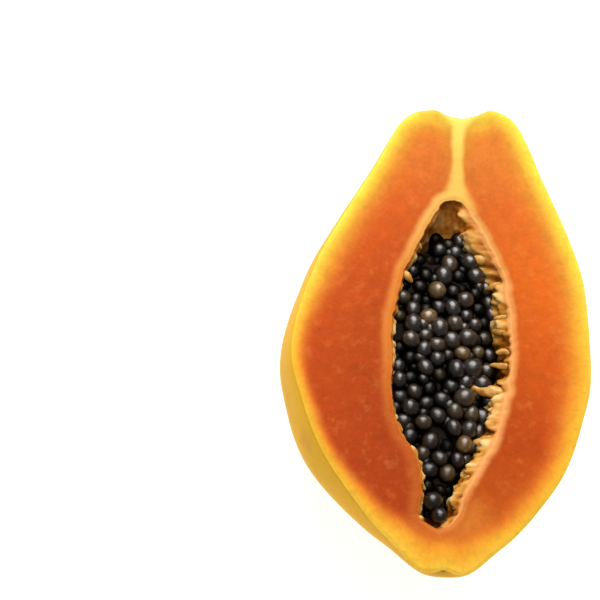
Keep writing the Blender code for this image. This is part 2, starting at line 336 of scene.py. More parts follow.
lump_layer = half.verts.layers.float.new("lump")
rim_at = {(round(v[share_layer] * LENGTH_STEPS), v[side_layer]): v.co.copy() for v in ring_verts(rim)}
for ring in range(1, FACE_RINGS + 1):
    inward = 0.5 - 0.5 * math.cos(math.pi * ring / FACE_RINGS)
    rim = drawn_ring(half, rim, FLESH)
    for v in ring_verts(rim):
        outer = rim_at[round(v[share_layer] * LENGTH_STEPS), v[side_layer]]
        inner = mouth_point(mouth, middle, v[share_layer], v[side_layer])
        v.co = outer.lerp(Vector((inner.x, inner.y, CUT_HEIGHT)), inward)

for ring in range(1, WALL_RINGS + 1):
    angle = math.pi / 2 * (ring / WALL_RINGS) ** WALL_RING_CROWDING
    rim = drawn_ring(half, rim, LINING)
    for v in ring_verts(rim):
        side = v[side_layer]
        edge = mouth_point(mouth, middle, v[share_layer], side)
        centre = value_at(middle, edge.y)
        half_width = abs(edge.x - centre)
        even_width = half_width + (value_at(mouth, edge.y) - half_width) * ring / WALL_RINGS
        depth = even_width * CAVITY_DEPTH_RATIO * math.sin(angle)
        lump = wall_lump(Vector((centre + side * math.cos(angle) * half_width, edge.y, depth)))
        least, most = RIGHT_SWELLING if side > 0 else LEFT_SWELLING
        swelling = smooth_step(*LIP_DEPTH, depth) * (1 - smooth_step(*SWELLING_DEPTH, depth))
        if side > 0:
            least += STEM_SWELLING * smooth_step(*STEM_SWELLING_STATIONS, edge.y)
        inset = (least + most * lump) * swelling * min(half_width / SWELLING_ROOM, 1.0)
        x = centre + side * math.cos(angle) * max(half_width - inset, 0.0)
        v.co = Vector((x, edge.y, CUT_HEIGHT - depth))
        v[lump_layer] = lump
bmesh.ops.remove_doubles(half, verts=half.verts, dist=WELD)
bmesh.ops.recalc_face_normals(half, faces=half.faces)


def nearest_finder(points):
    tree = kdtree.KDTree(len(points))
    for i, p in enumerate(points):
        tree.insert((p.x, p.y, 0.0), i)
    tree.balance()
    return tree


shares = [i / LENGTH_STEPS for i in range(LENGTH_STEPS + 1)]
rim_line = nearest_finder(list(rim_at.values()))
mouth_line = nearest_finder([mouth_point(mouth, middle, share, side) for share in shares for side in (-1, 1)])
from_rim = half.verts.layers.float.new("from_rim")
from_mouth = half.verts.layers.float.new("from_mouth")
for v in half.verts:
    flat = Vector((v.co.x, v.co.y, 0.0))
    kinds = {f.material_index for f in v.link_faces}
    if FLESH in kinds:
        v[from_rim] = rim_line.find(flat)[2] * 1000
        v[from_mouth] = mouth_line.find(flat)[2] * 1000
    elif LINING in kinds:
        v[from_mouth] = (v.co.z - CUT_HEIGHT) * 1000

for v in half.verts:
    kinds = {f.material_index for f in v.link_faces}
    if FLESH in kinds:
        rim_gap = v[from_rim] / 1000
        mouth_gap = v[from_mouth] / 1000
        waves = FACE_WAVES * (noise.noise(v.co / FACE_WAVE_SIZE) - FACE_WAVE_SINK)
        lining = LINING_RISE * smooth_step(LINING_WIDTH, LINING_WIDTH * 0.5, mouth_gap)
        crumbs = lining * noise.noise(v.co / LINING_CRUMB_SIZE)
        v.co.z += waves + lining + crumbs
        v.co.z -= RIM_DROP * fade(rim_gap, RIM_DROP_REACH) + MOUTH_DROP * fade(mouth_gap, MOUTH_DROP_REACH)
    elif kinds == {SKIN}:
        from_ridge = (v.co - STEM_SCAR).length - STEM_SCAR_RADIUS
        ridge = STEM_SCAR_RIDGE * fade(from_ridge, STEM_SCAR_RIDGE_WIDTH)
        dents = SKIN_DENTS * (noise.noise(v.co / SKIN_DENT_SIZE) - SKIN_DENT_SINK)
        v.co.z -= RIM_DROP * fade(CUT_HEIGHT - v.co.z, RIM_DROP_REACH)
        v.co += v.normal * (dents + ridge * noise.noise(v.co / STEM_SCAR_RIDGE_SIZE))
        v.co.z = 0.5 * (v.co.z + math.hypot(v.co.z, TABLE_SOFTNESS))
    else:
        v.co.z -= MOUTH_DROP * fade(CUT_HEIGHT - v.co.z, WALL_DROP_REACH)


def to_linear(hex_colour):
    """An sRGB hex colour as linear red, green, blue and alpha."""
    channels = [int(hex_colour[i : i + 2], 16) / 255 for i in (0, 2, 4)]
    return [c / 12.92 if c <= 0.04045 else ((c + 0.055) / 1.055) ** 2.4 for c in channels] + [1.0]


def add_node(material, kind, inputs=(), output=0, stops=(), **settings):
    """Adds a node and returns one of its outputs. Inputs are values or sockets, in order or by their keys."""
    tree = material.node_tree
    node = tree.nodes.new("ShaderNode" + kind)
    for name, value in settings.items():
        setattr(node, name, value)
    for key, value in inputs.items() if isinstance(inputs, dict) else enumerate(inputs):
        if isinstance(value, bpy.types.NodeSocket):
            tree.links.new(value, node.inputs[key])
        else:
            node.inputs[key].default_value = value
    for i, (place, colour) in enumerate(stops):
        ramp = node.color_ramp.elements
        stop = ramp[i] if i < 2 else ramp.new(place)
        stop.position = place
        stop.color = to_linear(colour)
    return node.outputs[output]


def new_material(name, **sockets):
    """A material whose own shader has these values. An underscore in a name stands for a space."""
    material = bpy.data.materials.new(name)
    material.use_nodes = True
    shader = material.node_tree.nodes["Principled BSDF"]
    for socket, value in sockets.items():
        shader.inputs[socket.replace("_", " ")].default_value = value
    return material, shader


def finished_piece(name, bm, materials):
    mesh = bpy.data.meshes.new(name)
    bm.to_mesh(mesh)
    bm.free()
    for material in materials:
        mesh.materials.append(material)
    mesh.shade_smooth()
    piece = bpy.data.objects.new(name, mesh)
    bpy.context.scene.collection.objects.link(piece)
    return piece


# Waxy skin of a ripe papaya: golden by the cut, and mottled yellow and green on the back in clouds of about
# 20 mm. Pores show as fine dots 3 mm apart. A bruise lies low on the -X side, and dry brown scars mark the
# stem and the fallen blossom.
BRUISE = Vector((-0.0500, -0.0440, 0.0540))
BRUISE_RADIUS = 0.0070

skin, shader = new_material("waxy_papaya_skin", Roughness=0.55, IOR=1.20)
place = add_node(skin, "TexCoord", output=3)
height = add_node(skin, "SeparateXYZ", (place,), output=2)
length = add_node(skin, "SeparateXYZ", (place,), output=1)
cloud = add_node(skin, "TexNoise", {"Vector": place, "Scale": 42.0, "Detail": 4.0, "Roughness": 0.55})
streaks = add_node(skin, "Mapping", {"Vector": place, "Scale": (1.0, 0.28, 1.0)})
streak = add_node(skin, "TexNoise", {"Vector": streaks, "Scale": 95.0, "Detail": 3.0})
ripe_height = add_node(skin, "MapRange", (height, 0.004, 0.056, -0.12, 0.56))
ripe_length = add_node(skin, "MapRange", (length, 0.070, 0.010, -0.12, 0.0))
ripeness = add_node(skin, "Math", (ripe_height, ripe_length), operation="ADD")
clouded = add_node(skin, "Math", (cloud, 0.75, ripeness), operation="MULTIPLY_ADD")
mottled = add_node(skin, "Math", (streak, 0.16, clouded), operation="MULTIPLY_ADD")
ground = add_node(
    skin,
    "ValToRGB",
    (mottled,),
    stops=[(0.24, "8c9418"), (1.0, "ffbe1a"), (0.40, "b4a81a"), (0.56, "d8b61a"), (0.76, "f4b818")],
)
pore = add_node(skin, "TexVoronoi", {"Vector": place, "Scale": 300.0})
pore_share = add_node(skin, "MapRange", (pore, 0.05, 0.20, 0.25, 0.0))
colour = add_node(skin, "Mix", {0: pore_share, 6: ground, 7: to_linear("a8841c")}, output=2, data_type="RGBA")
ragged = add_node(skin, "TexNoise", {"Vector": place, "Scale": 420.0, "Detail": 3.0})
for centre, radius, edge, strength, stain in (
    (BRUISE, BRUISE_RADIUS, 0.35, 0.55, "d8923c"),
    (STEM_SCAR, STEM_SCAR_RADIUS, 0.75, 0.9, "7c6a3c"),
    (STEM_SCAR, STEM_SCAR_RADIUS * 0.5, 0.75, 0.8, "4f3d22"),
    (BLOSSOM_SCAR, BLOSSOM_SCAR_RADIUS * 2.4, 0.30, 0.5, "a8862c"),
    (BLOSSOM_SCAR, BLOSSOM_SCAR_RADIUS, 0.70, 1.0, "3f2410"),
):
    away = add_node(skin, "VectorMath", (place, centre), output=1, operation="DISTANCE")
    torn = add_node(skin, "Math", (ragged, radius * 0.8, away), operation="MULTIPLY_ADD")
    inside = add_node(skin, "MapRange", (torn, radius * 1.4, radius * (0.2 + 1.2 * edge), 0.0, strength))
    colour = add_node(skin, "Mix", {0: inside, 6: colour, 7: to_linear(stain)}, output=2, data_type="RGBA")
skin.node_tree.links.new(colour, shader.inputs["Base Color"])
peel = add_node(skin, "TexNoise", {"Vector": place, "Scale": 700.0, "Detail": 3.0})
bump = add_node(skin, "Bump", {"Height": peel, "Strength": 0.15, "Distance": 0.0003})
skin.node_tree.links.new(bump, shader.inputs["Normal"])

# Ripe flesh under the knife, moist and close grained. It is yellow by the skin and deepens to red orange
# inside. Painted shade makes it darker towards the blossom end and on the -X side. A pale lining runs along
# the cavity, and the stem's cream strand runs down to it.
PALE_TIP = Vector((0.0090, -0.0720, 0.0618))
STRAND_X = 0.0028
STRAND_HALF_WIDTH = 0.0080

flesh, shader = new_material(
    "ripe_papaya_flesh",
    Roughness=0.50,
    IOR=1.18,
    Subsurface_Weight=0.06,
    Subsurface_Radius=(1.0, 0.35, 0.08),
    Subsurface_Scale=0.003,
)
place = add_node(flesh, "TexCoord", output=3)
across = add_node(flesh, "SeparateXYZ", (place,), output=0)
length = add_node(flesh, "SeparateXYZ", (place,), output=1)
rim_gap = add_node(flesh, "Attribute", output=2, attribute_name="from_rim")
mouth_gap = add_node(flesh, "Attribute", output=2, attribute_name="from_mouth")
wander = add_node(flesh, "TexNoise", {"Vector": place, "Scale": 130.0, "Detail": 3.0})
patchy = add_node(flesh, "TexNoise", {"Vector": place, "Scale": 210.0, "Detail": 5.0, "Roughness": 0.6})
cells = add_node(flesh, "TexNoise", {"Vector": place, "Scale": 850.0, "Detail": 3.0})

# The yellow rim is broad at the upper right and at the blossom tip, and narrow at the lower left.
left_side = add_node(flesh, "MapRange", (across, 0.0, -0.026), interpolation_type="SMOOTHSTEP")
downward = add_node(flesh, "MapRange", (length, 0.014, -0.022, 1.25, 2.7))
tipward = add_node(flesh, "MapRange", (length, -0.045, -0.070, 1.0, 0.48))
left_narrow = add_node(flesh, "Math", (downward, tipward), operation="MULTIPLY")
right_narrow = add_node(
    flesh, "MapRange", (length, -0.015, -0.048, 1.0, 1.35), interpolation_type="SMOOTHSTEP"
)
side_narrow = add_node(flesh, "Mix", {0: left_side, 2: right_narrow, 3: left_narrow})
tip_broad = add_node(flesh, "MapRange", (length, -0.064, -0.080, 1.0, 0.50), interpolation_type="SMOOTHSTEP")
narrow = add_node(flesh, "Math", (side_narrow, tip_broad), operation="MULTIPLY")
uneven = add_node(flesh, "Math", (wander, 2.4, -1.2), operation="MULTIPLY_ADD")
depth = add_node(flesh, "Math", (rim_gap, narrow, uneven), operation="MULTIPLY_ADD")
depth_share = add_node(flesh, "Math", (depth, 18.0), operation="DIVIDE")
golden = add_node(
    flesh,
    "ValToRGB",
    (depth_share,),
    stops=[
        (0.00, "fccc48"),
        (1.00, "d2601a"),
        (0.09, "fcc038"),
        (0.21, "fab02e"),
        (0.34, "f39a29"),
        (0.47, "ec8425"),
        (0.70, "dc6c1e"),
    ],
)
lemon = add_node(
    flesh,
    "ValToRGB",
    (depth_share,),
    stops=[
        (0.00, "f8ea58"),
        (1.00, "e07024"),
        (0.10, "f6da40"),
        (0.23, "f2bb38"),
        (0.38, "e6942c"),
        (0.60, "e27e28"),
    ],
)
stemward = add_node(flesh, "MapRange", (length, -0.020, 0.045), interpolation_type="SMOOTHSTEP")
rind = add_node(flesh, "Mix", {0: stemward, 6: golden, 7: lemon}, output=2, data_type="RGBA")
# Painted shade: the deep flesh darkens towards the blossom end. The -X side takes the shaded copy of these
# colours and the +X side the bright one.
along = add_node(flesh, "MapRange", (length, 0.070, -0.060))
shaded = add_node(
    flesh,
    "ValToRGB",
    (along,),
    stops=[
        (0.0, "d87026"),
        (1.0, "ac3c08"),
        (0.15, "d4601a"),
        (0.27, "cc5412"),
        (0.47, "c24c0e"),
        (0.70, "b8440a"),
    ],
)
bright = add_node(
    flesh,
    "ValToRGB",
    (along,),
    stops=[
        (0.0, "dc7c2c"),
        (1.0, "c0520e"),
        (0.15, "dc681e"),
        (0.36, "e26814"),
        (0.58, "d2580e"),
        (0.82, "bc460a"),
    ],
)
side = add_node(flesh, "MapRange", (across, -0.022, 0.022), interpolation_type="SMOOTHSTEP")
midway = add_node(flesh, "Mix", {0: side, 6: shaded, 7: bright}, output=2, data_type="RGBA")
outward = add_node(flesh, "MapRange", (rim_gap, 26.0, 5.0, 0.97, 1.14))
lightened = add_node(flesh, "VectorMath", {0: midway, "Scale": outward}, operation="SCALE")
from_tip = add_node(flesh, "VectorMath", (place, PALE_TIP), output=1, operation="DISTANCE")
pale = add_node(flesh, "MapRange", (from_tip, 0.019, 0.005, 0.0, 0.8), interpolation_type="SMOOTHSTEP")
deep = add_node(flesh, "Mix", {0: pale, 6: lightened, 7: to_linear("e0812c")}, output=2, data_type="RGBA")
inward = add_node(flesh, "MapRange", (depth, 6.0, 17.0), interpolation_type="SMOOTHSTEP")
inner = add_node(flesh, "Mix", {0: inward, 6: rind, 7: deep}, output=2, data_type="RGBA")
# Soft patches about 5 mm across, fine cells under a millimetre, and a few pale flecks of torn fibre.
patch = add_node(flesh, "Math", (patchy, 0.46, 0.77), operation="MULTIPLY_ADD")
grain = add_node(flesh, "Math", (cells, 0.26, 0.87), operation="MULTIPLY_ADD")
mottle = add_node(flesh, "Math", (patch, grain), operation="MULTIPLY")
uneven_flesh = add_node(flesh, "VectorMath", {0: inner, "Scale": mottle}, operation="SCALE")
flecks = add_node(flesh, "TexNoise", {"Vector": place, "Scale": 300.0, "Detail": 3.0})
fleck = add_node(flesh, "MapRange", (flecks, 0.54, 0.78, 0.0, 0.20))
mottled = add_node(
    flesh, "Mix", {0: fleck, 6: uneven_flesh, 7: to_linear("ffa04e")}, output=2, data_type="RGBA"
)

# The lining: a pale band along the cavity, with a darker line outside it that is a painted shadow. On the -X
# side it is broader, softer and more orange, and fades out towards the blossom end.
ragged_gap = add_node(flesh, "Math", (wander, 1.4, mouth_gap), operation="MULTIPLY_ADD")
right_side = add_node(flesh, "MapRange", (across, -0.006, 0.010), interpolation_type="SMOOTHSTEP")
band_width = add_node(flesh, "MapRange", (right_side, 0.0, 1.0, 4.0, 2.0))
over_edge = add_node(flesh, "Math", (ragged_gap, band_width), operation="SUBTRACT")
# Painted shadow: the flesh darkens in a thin line just outside the lining band.
painted_shadow_line = add_node(flesh, "MapRange", (over_edge, 2.4, 0.6, 0.0, 0.22), interpolation_type="SMOOTHSTEP")
shadow_lined_flesh = add_node(flesh, "Mix", {0: painted_shadow_line, 6: mottled, 7: to_linear("c4591a")}, output=2, data_type="RGBA")
in_band = add_node(flesh, "MapRange", (over_edge, 1.5, -1.6), interpolation_type="SMOOTHSTEP")
left_band = add_node(flesh, "MapRange", (length, -0.040, 0.010, 0.25, 0.9), interpolation_type="SMOOTHSTEP")
tip_band = add_node(flesh, "MapRange", (length, -0.070, -0.050, 0.15, 0.95), interpolation_type="SMOOTHSTEP")
band_there = add_node(flesh, "Mix", {0: right_side, 2: left_band, 3: tip_band})
band_share = add_node(flesh, "Math", (in_band, band_there), operation="MULTIPLY")
side_colour = add_node(flesh, "ValToRGB", (right_side,), stops=[(0.0, "ea8a36"), (1.0, "f8a758")])
top_band = add_node(flesh, "MapRange", (length, 0.016, 0.050), interpolation_type="SMOOTHSTEP")
band_colour = add_node(
    flesh, "Mix", {0: top_band, 6: side_colour, 7: to_linear("f9bd60")}, output=2, data_type="RGBA"
)
lined = add_node(flesh, "Mix", {0: band_share, 6: shadow_lined_flesh, 7: band_colour}, output=2, data_type="RGBA")

# The strand is under 4 mm wide in its middle. It flares into the stem's notch and, more slowly, into the
# lining. The greys are its half width, as a share of the widest.
strand_place = add_node(flesh, "MapRange", (length, 0.046, 0.084))
flare = add_node(
    flesh,
    "ValToRGB",
    (strand_place,),
    stops=[
        (0.0, "ffffff"),
        (1.0, "dbdbdb"),
        (0.12, "ebebeb"),
        (0.22, "c4c4c4"),
        (0.34, "a0a0a0"),
        (0.50, "868686"),
        (0.88, "9a9a9a"),
    ],
)
strand_half = add_node(flesh, "Math", (flare, STRAND_HALF_WIDTH), operation="MULTIPLY")
wobble = add_node(flesh, "Math", (wander, 0.0018, -0.0009 - STRAND_X), operation="MULTIPLY_ADD")
offset = add_node(flesh, "Math", (across, wobble), operation="ADD")
aside = add_node(flesh, "Math", (offset,), operation="ABSOLUTE")
strand_share = add_node(flesh, "Math", (aside, strand_half), operation="DIVIDE")
in_strand = add_node(flesh, "MapRange", (strand_share, 1.5, 0.4), interpolation_type="SMOOTHSTEP")
above_mouth = add_node(flesh, "MapRange", (length, 0.046, 0.051), interpolation_type="SMOOTHSTEP")
strand_there = add_node(flesh, "Math", (in_strand, above_mouth), operation="MULTIPLY")
strand_colour = add_node(
    flesh,
    "ValToRGB",
    (strand_place,),
    stops=[(0.1, "fac05a"), (1.0, "fde768"), (0.55, "f9c658")],
)
# Painted shade: an olive margin darkens the flesh on both sides of the strand near the stem.
beside = add_node(flesh, "MapRange", (strand_share, 3.6, 1.2, 0.0, 0.45), interpolation_type="SMOOTHSTEP")
near_stem = add_node(flesh, "MapRange", (length, 0.052, 0.076), interpolation_type="SMOOTHSTEP")
painted_shade_beside_strand = add_node(flesh, "Math", (beside, near_stem), operation="MULTIPLY")
strand_margin_shaded = add_node(flesh, "Mix", {0: painted_shade_beside_strand, 6: lined, 7: to_linear("cc8c28")}, output=2, data_type="RGBA")
stranded = add_node(flesh, "Mix", {0: strand_there, 6: strand_margin_shaded, 7: strand_colour}, output=2, data_type="RGBA")
flesh.node_tree.links.new(stranded, shader.inputs["Base Color"])
bump = add_node(flesh, "Bump", {"Height": cells, "Strength": 0.3, "Distance": 0.0004})
flesh.node_tree.links.new(bump, shader.inputs["Normal"])

# The cavity's wall: soft, wet placenta with pale gold lumps and amber hollows between them, the hollows'
# darker amber partly painted shade, and dark brown painted as shade lower down the wall.
lining, shader = new_material(
    "wet_placenta",
    Roughness=0.45,
    IOR=1.28,
    Coat_Weight=0.08,
    Coat_Roughness=0.20,
    Subsurface_Weight=0.10,
    Subsurface_Radius=(1.0, 0.4, 0.1),
    Subsurface_Scale=0.003,
)
place = add_node(lining, "TexCoord", output=3)
across = add_node(lining, "SeparateXYZ", (place,), output=0)
length = add_node(lining, "SeparateXYZ", (place,), output=1)
below = add_node(lining, "Attribute", output=2, attribute_name="from_mouth")
lump = add_node(lining, "Attribute", output=2, attribute_name="lump")
drawn_out = add_node(lining, "Mapping", {"Vector": place, "Scale": (0.5, 1.0, 0.35)})
fibres = add_node(lining, "TexNoise", {"Vector": drawn_out, "Scale": 420.0, "Detail": 3.0})
paler_end = add_node(
    lining, "MapRange", (length, 0.010, 0.034, -0.20, -0.02), interpolation_type="SMOOTHSTEP"
)
lumpy = add_node(lining, "Math", (lump, 0.85, paler_end), operation="MULTIPLY_ADD")
tone = add_node(lining, "Math", (fibres, 0.5, lumpy), operation="MULTIPLY_ADD")
# The hollows between the lumps take the darker ambers, partly painted shade.
lit = add_node(
    lining,
    "ValToRGB",
    (tone,),
    stops=[(0.14, "7c400a"), (0.92, "ffd88c"), (0.38, "b87018"), (0.64, "eca648")],
)
# Painted shade: the wall darkens to deep brown from 5.5 to 11 mm below the cut.
sunk = add_node(lining, "MapRange", (below, -5.5, -11.0), interpolation_type="SMOOTHSTEP")
wall = add_node(lining, "Mix", {0: sunk, 6: lit, 7: to_linear("5a2c0c")}, output=2, data_type="RGBA")
amber_end = add_node(lining, "MapRange", (length, 0.030, 0.042, 0.0, 0.75), interpolation_type="SMOOTHSTEP")
amber = add_node(
    lining,
    "ValToRGB",
    (tone,),
    stops=[(0.15, "a4560e"), (0.90, "ffb85a"), (0.50, "dc8628")],
)
end_wall = add_node(lining, "Mix", {0: amber_end, 6: wall, 7: amber}, output=2, data_type="RGBA")
# Painted shade: the -X side of the wall at the stem end is darkened to deep brown.
left_end = add_node(lining, "MapRange", (across, 0.005, -0.003, 0.0, 0.6), interpolation_type="SMOOTHSTEP")
left_end_painted_shade = add_node(lining, "Math", (left_end, amber_end), operation="MULTIPLY")
ended = add_node(
    lining, "Mix", {0: left_end_painted_shade, 6: end_wall, 7: to_linear("4a240c")}, output=2, data_type="RGBA"
)
right_side = add_node(lining, "MapRange", (across, -0.006, 0.010), interpolation_type="SMOOTHSTEP")
lip_colour = add_node(lining, "ValToRGB", (right_side,), stops=[(0.0, "d87a2c"), (1.0, "f8a758")])
lip = add_node(lining, "MapRange", (below, -1.0, -0.4), interpolation_type="SMOOTHSTEP")
lipped = add_node(lining, "Mix", {0: lip, 6: ended, 7: lip_colour}, output=2, data_type="RGBA")
lining.node_tree.links.new(lipped, shader.inputs["Base Color"])
bump = add_node(lining, "Bump", {"Height": fibres, "Strength": 0.4, "Distance": 0.0008})
lining.node_tree.links.new(bump, shader.inputs["Normal"])

papaya_half = finished_piece("papaya_half_fine", half, [skin, flesh, lining])
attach(papaya_half, "root")
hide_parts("papaya_half")


# The seeds. Each sits in its own glossy skin of dark jelly. They are drawn at random into the cavity and
# shaken apart, as the solids' seeds are, in an upper layer and a lower one that fills its gaps. Smaller ones
# are crowded in between, and the heap sinks into a few shallow hollows.
SEED_HALF_LENGTH = 0.0035
SEED_HALF_WIDTH = 0.0031
SEED_SIDES = 12
SEED_RINGS = 8
SEED_SIZES = (0.84, 1.06)
SMALL_SEED_SHARE = 0.70
SMALL_SEED_ROOM = (0.003, 0.009)
SEED_DRAW = 11
UPPER_SEEDS = 108
UPPER_SPACING = 0.96
CROWDED_SPACING = 0.72
SPREAD_ROUNDS = 60
LOWER_TRIES = 1500
LOWER_SPACING = 0.86
LOWER_LAYER_DROP = 0.0026
WALL_GAP = 0.0003
WALL_SAMPLES = 4
WALL_TRIES = 14
WALL_PULL = 0.93
END_GAP = 0.0020
HEAP_TOP = -0.0008
HEAP_ROUGHNESS = 0.0011
HEAP_SIDE_FALL = 0.0058
HEAP_SIDE_START = 0.25
HEAP_STEM_FALL = 0.0042
HEAP_STEM_STATION = 0.0385
HEAP_STEM_SLOPE_LENGTH = 0.0200
HEAP_BLOSSOM_STATION = -0.0680
FINE_MOUTH_STEPS = 120
CORE_DROP = 0.0044
ROOT_SINK = 0.0008
JELLY_SWELL = 1.15
SEED_DENTS = 0.06
SEED_DENT_SIZE = 0.0022
TONE_DRAW = 5
SUNK_SHARE = 0.30
SUNK_DROP = (0.0008, 0.0028)
UNEVEN_RISE = 0.0011
HOLLOW_DROP = 0.0042
HOLLOW_SIZE = 0.0085
LEFT_SHIFT = 0.0011
LEFT_SHIFT_START = (0.4, 0.9)
FILLER_DRAW = 8
FILLER_TRIES = 1000
FILLER_SPACING = 0.60
FILLER_SHARE = (0.70, 0.95)
FILLER_DROP = (0.0012, 0.0036)


def heap_level(across, station):
    """Height of the seed heap's top under the cut face. across runs from -1 to 1 over the mouth."""
    side = HEAP_SIDE_FALL * smooth_step(HEAP_SIDE_START, 1.0, across)
    slope_start = HEAP_STEM_STATION - HEAP_STEM_SLOPE_LENGTH
    stem = HEAP_STEM_FALL * smooth_step(slope_start, HEAP_STEM_STATION, station)
    return HEAP_TOP - side - stem


def is_inside(mouth, middle, centre, reach):
    """True if a ball of that reach stays inside the cavity wall, tested round its lower outer side."""
    for step in range(-WALL_SAMPLES, WALL_SAMPLES + 1):
        along = reach * step / WALL_SAMPLES
        ring = math.sqrt(reach * reach - along * along)
        half_width = value_at(mouth, centre.y + along) + WELD
        away = abs(centre.x - value_at(middle, centre.y + along))
        for quarter in range(WALL_SAMPLES + 1):
            angle = math.pi / 2 * quarter / WALL_SAMPLES
            across = away + ring * math.cos(angle)
            depth = CUT_HEIGHT - centre.z + ring * math.sin(angle)
            if math.hypot(across, depth / CAVITY_DEPTH_RATIO) > half_width:
                return False
    return True


def drawn_in(mouth, middle, centre, size):
    """A seed's centre, drawn in from the wall until the seed is clear of it, or None if it never is."""
    centre_line = value_at(middle, centre.y)
    for _ in range(WALL_TRIES):
        if is_inside(mouth, middle, centre, SEED_HALF_LENGTH * size + WALL_GAP):
            return centre
        centre = Vector((centre_line + (centre.x - centre_line) * WALL_PULL, centre.y, centre.z))
    return None


def draw_spots(draw, mouth, count):
    """Random spots over the cavity's mouth: [distance from its middle, station, seed size]."""
    spots = []
    widest = max(p.x for p in mouth)
    while len(spots) < count:
        station = draw.uniform(HEAP_BLOSSOM_STATION + END_GAP, HEAP_STEM_STATION)
        half_width = value_at(mouth, station)
        aside = draw.uniform(-1, 1) * widest
        wide = smooth_step(*SMALL_SEED_ROOM, half_width)
        size = draw.uniform(*SEED_SIZES) * (SMALL_SEED_SHARE + (1 - SMALL_SEED_SHARE) * wide)
        if abs(aside) < half_width:
            spots.append([aside, station, size])
    return spots


def spread_out(spots, mouth):
    """Pushes spots that stand too close apart, round by round, and keeps them inside the mouth."""
    for _ in range(SPREAD_ROUNDS):
        for i, a in enumerate(spots):
            for b in spots[:i]:
                reach = UPPER_SPACING * (SEED_HALF_LENGTH + SEED_HALF_WIDTH) * (a[2] + b[2]) / 2
                away = Vector((a[0] - b[0], a[1] - b[1]))
                if 0 < away.length < reach:
                    push = away.normalized() * (reach - away.length) / 2
                    a[0] += push.x
                    a[1] += push.y
                    b[0] -= push.x
                    b[1] -= push.y
            a[1] = min(max(a[1], HEAP_BLOSSOM_STATION + END_GAP), HEAP_STEM_STATION)
            room = max(value_at(mouth, a[1]) - SEED_HALF_LENGTH * a[2] - WALL_GAP, 0.0)
            a[0] = min(max(a[0], -room), room)


def has_room(seeds, centre, size, nearest):
    """True if a seed there keeps that share of its own length from each seed already placed."""
    spacing = nearest * (SEED_HALF_LENGTH + SEED_HALF_WIDTH) / 2
    return all((centre - other).length > spacing * (size + s) for other, s, _ in seeds)


def place_seeds():
    """An upper layer of seeds shaken apart, then a lower one in its gaps: (centre, size, turn) of each."""
    draw = random.Random(SEED_DRAW)
    mouth = smooth_points(MOUTH_OUTLINE, FINE_MOUTH_STEPS)
    middle = smooth_points(MOUTH_MIDDLE, FINE_MOUTH_STEPS)
    upper = draw_spots(draw, mouth, UPPER_SEEDS)
    spread_out(upper, mouth)
    lower = draw_spots(draw, mouth, LOWER_TRIES)
    seeds = []
    for number, (aside, station, size) in enumerate(upper + lower):
        in_lower = number >= UPPER_SEEDS
        drop = LOWER_LAYER_DROP if in_lower else 0.0
        nearest = LOWER_SPACING if in_lower else CROWDED_SPACING
        most_bump = 2 * SEED_HALF_WIDTH * size - CORE_DROP - ROOT_SINK
        bump = min(draw.uniform(-HEAP_ROUGHNESS, HEAP_ROUGHNESS), most_bump)
        turn = Euler([draw.uniform(-math.pi, math.pi) for _ in range(3)])
        level = heap_level(aside / value_at(mouth, station), station)
        below = level + bump - drop - SEED_HALF_WIDTH * size
        centre = Vector((aside + value_at(middle, station), station, CUT_HEIGHT + below))
        if not has_room(seeds, centre, size, nearest):
            continue
        centre = drawn_in(mouth, middle, centre, size)
        if centre and has_room(seeds, centre, size, nearest):
            seeds.append((centre, size, turn))
    return seeds


def fill_gaps(seeds, mouth, middle):
    """Crowds smaller seeds into the gaps of the heap, a little sunk, as they overlap in the fruit."""
    draw = random.Random(FILLER_DRAW)
    for aside, station, size in draw_spots(draw, mouth, FILLER_TRIES):
        size *= draw.uniform(*FILLER_SHARE)
        below = heap_level(aside / value_at(mouth, station), station) - draw.uniform(*FILLER_DROP)
        height = CUT_HEIGHT + below - SEED_HALF_WIDTH * size
        centre = Vector((aside + value_at(middle, station), station, height))
        turn = Euler([draw.uniform(-math.pi, math.pi) for _ in range(3)])
        if has_room(seeds, centre, size, FILLER_SPACING):
            centre = drawn_in(mouth, middle, centre, size)
            if centre and has_room(seeds, centre, size, FILLER_SPACING):
                seeds.append((centre, size, turn))
    return seeds


heap = bmesh.new()
tone_layer = heap.verts.layers.float.new("seed_tone")
depth_layer = heap.verts.layers.float.new("seed_depth")
tones = random.Random(TONE_DRAW)
for centre, size, turn in fill_gaps(place_seeds(), mouth, middle):
    sink_range = SUNK_DROP if tones.random() < SUNK_SHARE else (-UNEVEN_RISE, UNEVEN_RISE)
    sunk = tones.uniform(*sink_range) + HOLLOW_DROP * max(noise.noise(centre / HOLLOW_SIZE), 0.0)
    across = (centre.x - value_at(middle, centre.y)) / value_at(mouth, centre.y)
    centre = centre - Vector((LEFT_SHIFT * smooth_step(*LEFT_SHIFT_START, -across), 0, sunk))
    tone = tones.random()
    width = SEED_HALF_WIDTH * size * JELLY_SWELL
    stretch = Matrix.Diagonal((width, width, SEED_HALF_LENGTH * size * JELLY_SWELL, 1.0))
    placed = Matrix.Translation(centre) @ turn.to_matrix().to_4x4() @ stretch
    ball = bmesh.ops.create_uvsphere(heap, u_segments=SEED_SIDES, v_segments=SEED_RINGS, radius=1.0)
    bmesh.ops.transform(heap, matrix=placed, verts=ball["verts"])
    for v in ball["verts"]:
        v.co += (v.co - centre) * SEED_DENTS * noise.noise(v.co / SEED_DENT_SIZE)
        v[tone_layer] = tone
        v[depth_layer] = CUT_HEIGHT + heap_level(across, centre.y) - v.co.z
